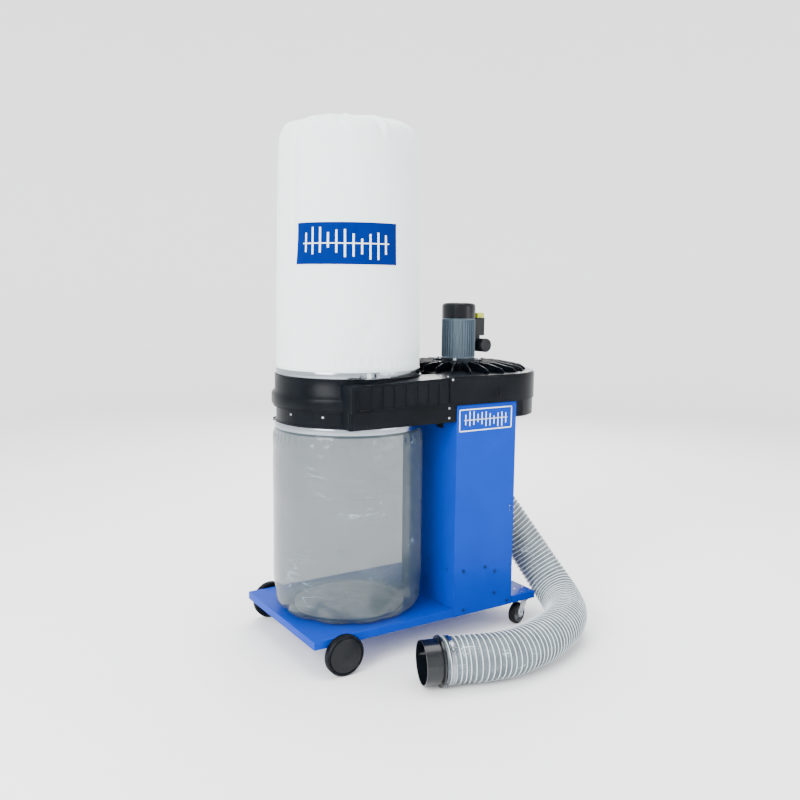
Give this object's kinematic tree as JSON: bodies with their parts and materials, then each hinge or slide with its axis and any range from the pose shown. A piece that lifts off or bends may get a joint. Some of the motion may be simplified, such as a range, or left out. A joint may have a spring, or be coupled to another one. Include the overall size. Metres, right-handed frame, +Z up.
{
  "type": "mobile dust collector",
  "caption": "Mobile workshop dust collector: wheeled steel base, cyclone ring with filter and chip bags, upright fan motor, suction hose.",
  "frame": {"origin": "centre of the machine's footprint box on the floor, without the hose, its clamps and its connector", "axes": "+X from the bag end towards the fan end, +Y towards the back, +Z up"},
  "size_m": [0.9529, 0.8455, 1.61],
  "materials": {
    "blue_paint": "semi-gloss",
    "dark_screw": "satin",
    "black_steel": "satin",
    "zinc": "satin",
    "wheel_black": "satin",
    "cap_black": "satin",
    "hub_grey": "satin",
    "tyre": "matt",
    "shell_black": "semi-gloss",
    "impeller_grey": "satin",
    "motor_dark": "satin",
    "motor_alu": "satin",
    "winding": "satin",
    "rotor_steel": "satin",
    "cowl_black": "gloss",
    "box_black": "satin",
    "green_plastic": "gloss",
    "red_plastic": "gloss",
    "yellow_plastic": "gloss",
    "band_steel": "polished",
    "filter_cloth": "matt",
    "clear_film": "gloss",
    "hose_film": "satin",
    "connector_black": "gloss"
  },
  "bodies": {
    "frame": {"base_plate": "blue_paint", "column": "blue_paint", "column_screws": "dark_screw", "column_brackets": "black_steel", "ring_bracket": "black_steel", "axle": "zinc", "axle_brackets": "blue_paint", "axle_retainers": "zinc", "caster_plates": "zinc", "caster_bolts": "zinc", "ring_lower": "shell_black", "ring_upper": "shell_black", "ring_screws": "zinc", "fan_housing": "shell_black", "fan_cover": "shell_black", "housing_screws": "zinc", "motor_plate": "motor_dark", "motor_screws": "zinc", "end_shield": "motor_dark", "motor_body": "motor_alu", "stator": "winding", "bearings": "rotor_steel", "top_shield": "motor_dark", "fan_cowl": "cowl_black", "terminal_box": "box_black", "switch_panel": "box_black", "cable_gland": "box_black", "capacitor": "box_black", "upper_band": "band_steel", "upper_loop": "band_steel", "lower_band": "band_steel", "lower_loop": "band_steel", "filter_bag": "filter_cloth", "chip_bag": "clear_film", "inlet_spigot": "shell_black", "hose": "hose_film", "hose_clamps": "band_steel", "hose_connector": "connector_black"},
    "rotor_set": {"impeller": "impeller_grey", "impeller_bolt": "zinc", "rotor": "rotor_steel", "motor_shaft": "rotor_steel", "cooling_fan": "cap_black"},
    "front_wheel": {"wheel_front": "wheel_black", "hubcap_front": "cap_black"},
    "rear_wheel": {"wheel_rear": "wheel_black", "hubcap_rear": "cap_black"},
    "front_fork": {"caster_fork_front": "zinc", "caster_axle_front": "zinc"},
    "rear_fork": {"caster_fork_rear": "zinc", "caster_axle_rear": "zinc"},
    "front_caster_wheel": {"caster_hub_front": "hub_grey", "caster_tyre_front": "tyre"},
    "rear_caster_wheel": {"caster_hub_rear": "hub_grey", "caster_tyre_rear": "tyre"},
    "cover": {"flip_cover": "yellow_plastic"},
    "start": {"start_button": "green_plastic"},
    "stop": {"stop_button": "red_plastic"},
    "upper_latch": {"upper_lever": "band_steel"},
    "lower_latch": {"lower_lever": "band_steel"}
  },
  "joints": [
    {"name": "fan_spin", "type": "hinge", "parent": "frame", "child": "rotor_set", "pos_m": [0.2125, 0, 0.9], "axis": [0, 0, 1], "continuous": true},
    {"name": "front_wheel_spin", "type": "hinge", "parent": "frame", "child": "front_wheel", "pos_m": [-0.3595, -0.258, 0.06], "axis": [0, 1, 0], "continuous": true},
    {"name": "rear_wheel_spin", "type": "hinge", "parent": "frame", "child": "rear_wheel", "pos_m": [-0.3595, 0.258, 0.06], "axis": [0, 1, 0], "continuous": true},
    {"name": "front_caster_swivel", "type": "hinge", "parent": "frame", "child": "front_fork", "pos_m": [0.3425, -0.207, 0.08], "axis": [0, 0, 1], "continuous": true},
    {"name": "rear_caster_swivel", "type": "hinge", "parent": "frame", "child": "rear_fork", "pos_m": [0.3425, 0.207, 0.08], "axis": [0, 0, 1], "continuous": true},
    {"name": "front_caster_roll", "type": "hinge", "parent": "front_fork", "child": "front_caster_wheel", "pos_m": [0.31545, -0.21425, 0.035], "axis": [0.2588, -0.9659, 0], "continuous": true},
    {"name": "rear_caster_roll", "type": "hinge", "parent": "rear_fork", "child": "rear_caster_wheel", "pos_m": [0.31545, 0.19975, 0.035], "axis": [0.2588, -0.9659, 0], "continuous": true},
    {"name": "flip_cover_hinge", "type": "hinge", "parent": "frame", "child": "cover", "pos_m": [0.286, 0.021, 1.009], "axis": [-1, 0, 0], "range_deg": [0, 100]},
    {"name": "start_press", "type": "slide", "parent": "frame", "child": "start", "axis": [0, 0, -1], "range_m": [0, 0.003], "stiffness_N_per_m": 400, "springref_m": -0.0005},
    {"name": "stop_press", "type": "slide", "parent": "frame", "child": "stop", "axis": [0, 0, -1], "range_m": [0, 0.003], "stiffness_N_per_m": 400, "springref_m": -0.0005},
    {"name": "upper_latch_hinge", "type": "hinge", "parent": "frame", "child": "upper_latch", "pos_m": [-0.23816, -0.22529, 0.851], "axis": [0, 0, -1], "range_deg": [0, 60]},
    {"name": "lower_latch_hinge", "type": "hinge", "parent": "frame", "child": "lower_latch", "pos_m": [-0.35627, 0.17849, 0.689], "axis": [0, 0, -1], "range_deg": [0, 60]}
  ]
}
